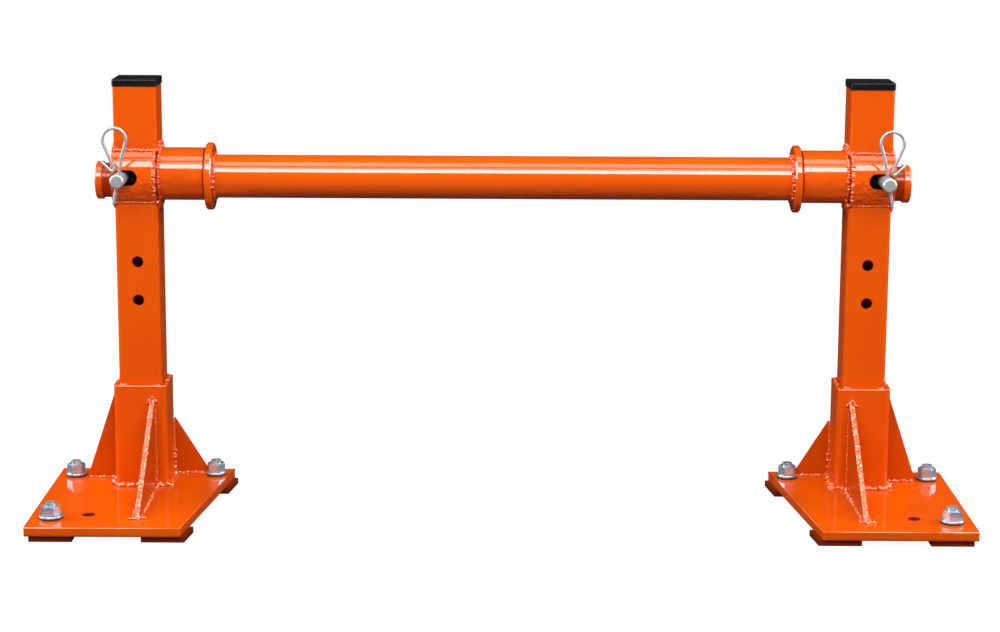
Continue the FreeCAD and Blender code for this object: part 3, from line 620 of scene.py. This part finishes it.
def ringPiece(name, radius, hole, low, high, edge):
    # a flat ring about the origin, with softened edges
    clearPick()
    bpy.ops.mesh.primitive_cylinder_add(vertices=72, radius=radius * mm, depth=(high - low) * mm,
                                        end_fill_type="NOTHING",
                                        location=(0, 0, (low + high) / 2 * mm))
    piece = namePiece(name)
    applyTool(piece, "SOLIDIFY", thickness=(radius - hole) * mm, offset=-1)
    applyTool(piece, "BEVEL", width=edge * mm, segments=3, limit_method="ANGLE",
              angle_limit=math.radians(50))
    return piece


def pickFlat(piece, level, up=1):
    # the faces that look up or down at a height, picked in edit mode
    pickOnly(piece)
    bpy.ops.object.mode_set(mode="EDIT")
    bpy.ops.mesh.select_mode(type="FACE")
    bpy.ops.mesh.select_all(action="DESELECT")
    bpy.ops.object.mode_set(mode="OBJECT")
    for face in piece.data.polygons:
        face.select = face.normal.z * up > 0.9 and abs(face.center.z - level) < 0.0001
    bpy.ops.object.mode_set(mode="EDIT")


def nutPiece(name, low, high):      # a hexagon cut by a drum with two cones, then countersunk
    corner = bolts["nutFlats"] / math.sqrt(3)
    slope = (corner - bolts["crownFlat"]) * math.tan(math.radians(bolts["crownSlope"]))
    middle = (0, 0, (low + high) / 2 * mm)
    clearPick()
    bpy.ops.mesh.primitive_cylinder_add(vertices=6, radius=corner * mm, depth=(high - low) * mm,
                                        location=middle, rotation=(0, 0, math.radians(30)))
    nut = namePiece(name)
    clearPick()
    bpy.ops.mesh.primitive_cylinder_add(vertices=96, radius=(corner + bolts["crownSpare"]) * mm,
                                        depth=(high - low - 2 * slope) * mm, location=middle)
    crown = namePiece(name + "Crown")
    share = bolts["crownFlat"] / corner
    for up, level in ((1, high - slope), (-1, low + slope)):
        pickFlat(crown, level * mm, up)
        bpy.ops.mesh.extrude_region_move(TRANSFORM_OT_translate={"value": (0, 0, up * slope * mm)})
        bpy.ops.transform.resize(value=(share, share, 1))
        bpy.ops.object.mode_set(mode="OBJECT")
    applyTool(nut, "BOOLEAN", operation="INTERSECT", object=crown, solver="EXACT")
    bpy.data.objects.remove(crown)
    clearPick()
    bpy.ops.mesh.primitive_cone_add(vertices=64, depth=bolts["sinkHigh"] * mm,
                                    radius1=(bolts["threadRadius"] - bolts["sinkUnder"]) * mm,
                                    radius2=(bolts["threadRadius"] + bolts["sinkOver"]) * mm,
                                    location=(0, 0, (high - bolts["sinkDown"]) * mm))
    sink = namePiece(name + "Sink")
    applyTool(nut, "BOOLEAN", operation="DIFFERENCE", object=sink, solver="EXACT")
    bpy.data.objects.remove(sink)
    return nut


def threadPiece(name, low, high):       # rings that widen and narrow, then a chamfered end
    clearPick()
    start = low * mm
    crest = bolts["threadRadius"]
    root = crest - bolts["threadDepth"]
    bpy.ops.mesh.primitive_cylinder_add(vertices=48, radius=root * mm,
                                        depth=bolts["threadStump"] * mm,
                                        location=(0, 0, start - bolts["threadStump"] / 2 * mm))
    stud = namePiece(name)
    pickFlat(stud, start)
    up, wide, half = low, root, bolts["threadPitch"] / 2
    while up + half < high - bolts["threadStops"]:
        other = crest if wide == root else root
        bpy.ops.mesh.extrude_region_move(TRANSFORM_OT_translate={"value": (0, 0, half * mm)})
        bpy.ops.transform.resize(value=(other / wide, other / wide, 1))
        up, wide = up + half, other
    bpy.ops.mesh.extrude_region_move(TRANSFORM_OT_translate={"value": (0, 0, (high - up) * mm)})
    bpy.ops.transform.resize(value=(bolts["endRadius"] / wide, bolts["endRadius"] / wide, 1))
    bpy.ops.mesh.inset(thickness=bolts["endInset"] * mm, depth=-bolts["endDent"] * mm)
    bpy.ops.object.mode_set(mode="OBJECT")
    return stud


def setAround(model, name, side, turned=True):      # copies of one model at the three bolts, joined
    copies = []
    for inward, back, _, turn in bolts["places"]:
        copy = model.copy()
        copy.data = model.data.copy()
        bpy.context.scene.collection.objects.link(copy)
        copy.location = spot(side, inward, back, 0)
        copy.rotation_euler = (0, 0, math.radians(turn * side if turned else 0))
        copies.append(copy)
    pickOnly(copies[0])
    for copy in copies:
        copy.select_set(True)
    bpy.ops.object.join()
    return namePiece(name)


def washerSet(name, side, low, high, edge, less):       # less: how much smaller than stated
    rings = []
    for number, (inward, back, radius, _) in enumerate(bolts["places"]):
        ring = ringPiece(name + "Ring" + str(number), radius - less, bolts["washerHole"],
                         low, high, edge)
        ring.location = spot(side, inward, back, 0)
        rings.append(ring)
    pickOnly(rings[0])
    for ring in rings:
        ring.select_set(True)
    bpy.ops.object.join()
    return namePiece(name)


def fixingsOfStand(word, side):
    body = word + "_stand"
    topOfRubber = layout["plateTop"] + bolts["rubberHigh"]
    floorOfNut = topOfRubber + bolts["washerHigh"]
    topOfNut = floorOfNut + bolts["nutHigh"]
    rubber = washerSet(word + "RubberWashers", side, layout["plateTop"] + bolts["rubberLift"],
                       topOfRubber, bolts["rubberEdge"], bolts["rubberLess"])
    dress(rubber, body, darkRubber)
    washers = washerSet(word + "PlatedWashers", side, topOfRubber, floorOfNut,
                        bolts["washerEdge"], 0.0)
    dress(washers, body, zinc)
    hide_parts(word + "_washers")
    nut = nutPiece(word + "NutModel", floorOfNut, topOfNut)
    nuts = setAround(nut, word + "HexNuts", side)
    bpy.data.objects.remove(nut)
    dress(nuts, body, zinc, angle=20)
    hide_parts(word + "_nuts")
    stud = threadPiece(word + "StudModel", topOfNut - bolts["threadSunk"],
                       topOfNut + bolts["proud"] + bolts["endRise"])
    studs = setAround(stud, word + "BoltThreads", side, turned=False)
    bpy.data.objects.remove(stud)
    dress(studs, body, zinc, angle=30)


# Flame-cut sloping edge of the front gusset, left rough under the paint

cutEdge = {
    "foot": (-165.0, 18.3),     # back of the post's centre and up
    "head": (-32.3, 121.0),
    "inward": 14.5,
    "width": 5.6,
    "thick": 0.9,
    "ripple": 1.7,      # how far the cut strays, in millimetres
    "grain": 1.8,       # size of its grains, in millimetres
    "contrast": 1.6,
    "level": 0.45,      # height of the grains that stays in place
    "across": 12,       # faces of the grid
    "along": 260,
}


def roughEdge(word, side):
    (backLow, low), (backHigh, high) = cutEdge["foot"], cutEdge["head"]
    length = math.hypot(backHigh - backLow, high - low)
    tilt = math.atan2(high - low, backHigh - backLow)
    middle = spot(side, cutEdge["inward"], (backLow + backHigh) / 2, (low + high) / 2)
    clearPick()
    bpy.ops.mesh.primitive_grid_add(x_subdivisions=cutEdge["across"], size=1,
                                    y_subdivisions=cutEdge["along"],
                                    location=middle, rotation=(tilt, 0, 0))
    bpy.context.object.scale = (cutEdge["width"] * mm, length * mm, 1)
    edge = namePiece(word + "CutEdge")
    cloud = bpy.data.textures.new(word + "Cut", "CLOUDS")
    cloud.noise_scale = cutEdge["grain"] * mm
    cloud.contrast = cutEdge["contrast"]
    applyTool(edge, "DISPLACE", texture=cloud, texture_coords="LOCAL",
              strength=cutEdge["ripple"] * mm, mid_level=cutEdge["level"])
    applyTool(edge, "SOLIDIFY", thickness=cutEdge["thick"] * mm, offset=-1)
    dress(edge, word + "_stand", cutHighlightPaint, angle=70)


# Rolls of paint that gather along the plate's upper edge and the socket's rim

roll = {
    "radius": 1.2,
    "sunk": 0.72,       # how far the roll's middle lies inside the edge
    # corners of the plate, inward and back of the post
    "plate": ((-105.5, -200.0), (67.5, -200.0), (101.5, 43.0), (-105.5, 43.0)),
    "rimHalf": 31.0,
    "rimCorner": 7.0,
}


def edgeRoll(name, path, body):
    curve = bpy.data.curves.new(name, "CURVE")
    curve.dimensions = "3D"
    curve.bevel_depth = roll["radius"] * mm
    curve.bevel_resolution = 4
    line = curve.splines.new("POLY")
    line.points.add(len(path) - 1)
    for point, place in zip(line.points, path):
        point.co = (*place, 1)
    line.use_cyclic_u = True
    holder = bpy.data.objects.new(name, curve)
    bpy.context.scene.collection.objects.link(holder)
    pickOnly(holder)
    bpy.ops.object.convert(target="MESH")
    dress(namePiece(name), body, rollHighlightPaint, angle=80)


def rollsOfStand(word, side):
    sunk = roll["sunk"]
    (outer, front), (innerFront, _), (innerBack, back), _ = roll["plate"]
    high = layout["plateTop"] - sunk
    corners = ((outer + sunk, front + sunk), (innerFront - sunk, front + sunk),
               (innerBack - sunk, back - sunk), (outer + sunk, back - sunk))
    edgeRoll(word + "PlateRoll", [spot(side, x, y, high) for x, y in corners], word + "_stand")
    rim = roundedSquare(side, roll["rimHalf"] - sunk, roll["rimCorner"] - sunk,
                        layout["socketTop"] - sunk)
    edgeRoll(word + "RimRoll", rim[:-1], word + "_stand")


# Painted shade: dark linings down the walls of the anchor holes

anchor = {
    "inward": -41.5,
    "back": -148.0,
    "radius": 7.25,
    "clear": 0.01,      # between the wall and its hole
    "skin": 0.25,
    "bottom": 9.9,      # under the top of the plate
    "top": 0.3,
    "edge": 0.05,
}


def holeShadeLining(word, side):
    wall = ringPiece(word + "AnchorHoleShadeLining", anchor["radius"] - anchor["clear"],
                     anchor["radius"] - anchor["skin"], layout["plateTop"] - anchor["bottom"],
                     layout["plateTop"] - anchor["top"], anchor["edge"])
    wall.location = spot(side, anchor["inward"], anchor["back"], 0)
    pickOnly(wall)
    dress(namePiece(word + "AnchorHoleShadeLining"), word + "_stand", holeShadePaint)


for number, (word, side) in enumerate(sides):
    weldsOfStand(word, side, weld["standSeed"] + number * weld["nextSeed"])
    ring = ringPath(side, layout["ringInner"] - weld["ringBefore"], layout["spindleZ"],
                    weld["ringSeam"])
    weldBead(word + "RingWeld", [ring], weld["ringBead"], weld["ringSeed"] + number, "spindle")
    fixingsOfStand(word, side)
    roughEdge(word, side)
    holeShadeLining(word, side)
    rollsOfStand(word, side)
print("weld beads laid, bolts and cut edges made")


# Camera, at the photograph's viewing angle

camera = {
    "place": (-0.0033, -2.5629, 0.7745),
    "downTilt": 10.195,
    "roll": 0.297,
    "focal": 2300.3,        # in pixels of the picture
    "pictureWide": 1000.0,
    "sensorWide": 36.0,     # millimetres
    "riseOfView": -0.07,
}
lens = bpy.data.cameras.new("camera")
lens.sensor_width = camera["sensorWide"]
lens.lens = camera["focal"] * camera["sensorWide"] / camera["pictureWide"]
lens.shift_y = camera["riseOfView"]
eye = bpy.data.objects.new("camera", lens)
bpy.context.scene.collection.objects.link(eye)
aim = Euler((math.radians(90 - camera["downTilt"]), 0, 0)).to_quaternion()
eye.rotation_mode = "QUATERNION"
eye.rotation_quaternion = aim @ Quaternion((0, 0, 1), math.radians(camera["roll"]))
eye.location = camera["place"]
bpy.context.scene.camera = eye

# Studio: soft boxes over the front and above, two at the sides and a low fill in front

lampList = (
    # name, place, aimed at, width, height, brightness of its face
    ("frontBox", (0.0, -1.593, 1.760), (0.0, 0.05, 0.36), 3.6, 0.70, 10.6),
    ("crownBox", (0.0, -1.200, 2.144), (0.0, 0.05, 0.36), 3.6, 0.42, 2.2),
    ("topBox", (0.0, -0.36, 2.46), (0.0, 0.05, 0.36), 3.2, 0.85, 2.8),
    ("leftBox", (-1.9, 0.10, 1.00), (0.0, 0.08, 0.30), 1.1, 1.2, 9.0),
    ("rightBox", (1.9, 0.10, 1.00), (0.0, 0.08, 0.30), 1.1, 1.2, 9.0),
    ("fillBox", (0.0, -1.9, 0.06), (0.0, 0.05, 0.38), 3.0, 0.6, 1.5),
)
for name, place, goal, width, height, bright in lampList:
    lamp = bpy.data.lights.new(name, "AREA")
    lamp.shape = "RECTANGLE"
    lamp.size = width
    lamp.size_y = height
    lamp.energy = bright * math.pi * width * height
    holder = bpy.data.objects.new(name, lamp)
    bpy.context.scene.collection.objects.link(holder)
    holder.location = place
    holder.rotation_euler = (Vector(goal) - Vector(place)).to_track_quat("-Z", "Y").to_euler()
    holder.visible_camera = False
    holder.visible_glossy = name != "fillBox"       # the fill only softens, and no paint mirrors it


def lightByRay(tree, shown, mirrored, felt):
    # one shader for the camera, one for mirrors and one for the rest
    ray = tree.nodes.new("ShaderNodeLightPath")
    seen = tree.nodes.new("ShaderNodeMath")
    seen.operation = "MAXIMUM"
    tree.links.new(ray.outputs["Is Glossy Ray"], seen.inputs[0])
    tree.links.new(ray.outputs["Is Transmission Ray"], seen.inputs[1])
    first = tree.nodes.new("ShaderNodeMixShader")
    second = tree.nodes.new("ShaderNodeMixShader")
    tree.links.new(seen.outputs[0], first.inputs["Fac"])
    tree.links.new(felt.outputs[0], first.inputs[1])
    tree.links.new(mirrored.outputs[0], first.inputs[2])
    tree.links.new(ray.outputs["Is Camera Ray"], second.inputs["Fac"])
    tree.links.new(first.outputs[0], second.inputs[1])
    tree.links.new(shown.outputs[0], second.inputs[2])
    return second


studio = {
    "skyShown": 1.0,
    "skyMirrored": 0.02,
    "skyFelt": 0.12,
    "floorGlow": 0.94,
    "floorShown": 0.20,
    "floorMirrored": 0.03,
    "floorFelt": 0.08,
    "floorSize": 5.0,
    "floorDrop": 0.0004,
}
world = bpy.data.worlds.new("studio")
world.use_nodes = True
bpy.context.scene.world = world
sky = world.node_tree
layers = []
for word in ("skyShown", "skyMirrored", "skyFelt"):
    glow = sky.nodes.new("ShaderNodeBackground")
    glow.inputs["Color"].default_value = (1, 1, 1, 1)
    glow.inputs["Strength"].default_value = studio[word]
    layers.append(glow)
sky.links.new(lightByRay(sky, *layers).outputs[0], sky.nodes["World Output"].inputs["Surface"])

clearPick()
bpy.ops.mesh.primitive_plane_add(size=studio["floorSize"], location=(0, 0, -studio["floorDrop"]))
floor = namePiece("floor")
floorFinish = bpy.data.materials.new("paleFloor")
floorFinish.use_nodes = True
ground = floorFinish.node_tree
ground.nodes.remove(ground.nodes["Principled BSDF"])
layers = []
for word in ("floorShown", "floorMirrored", "floorFelt"):
    matt = ground.nodes.new("ShaderNodeBsdfDiffuse")
    matt.inputs["Color"].default_value = (studio[word], studio[word], studio[word], 1)
    layers.append(matt)
glow = ground.nodes.new("ShaderNodeEmission")
glow.inputs["Strength"].default_value = studio["floorGlow"]
both = ground.nodes.new("ShaderNodeAddShader")
ground.links.new(layers[0].outputs[0], both.inputs[0])
ground.links.new(glow.outputs[0], both.inputs[1])
layers[0] = both
lit = lightByRay(ground, *layers)
ground.links.new(lit.outputs[0], ground.nodes["Material Output"].inputs["Surface"])
floor.data.materials.append(floorFinish)
bpy.context.scene.view_settings.view_transform = "Standard"
print("camera and studio set")
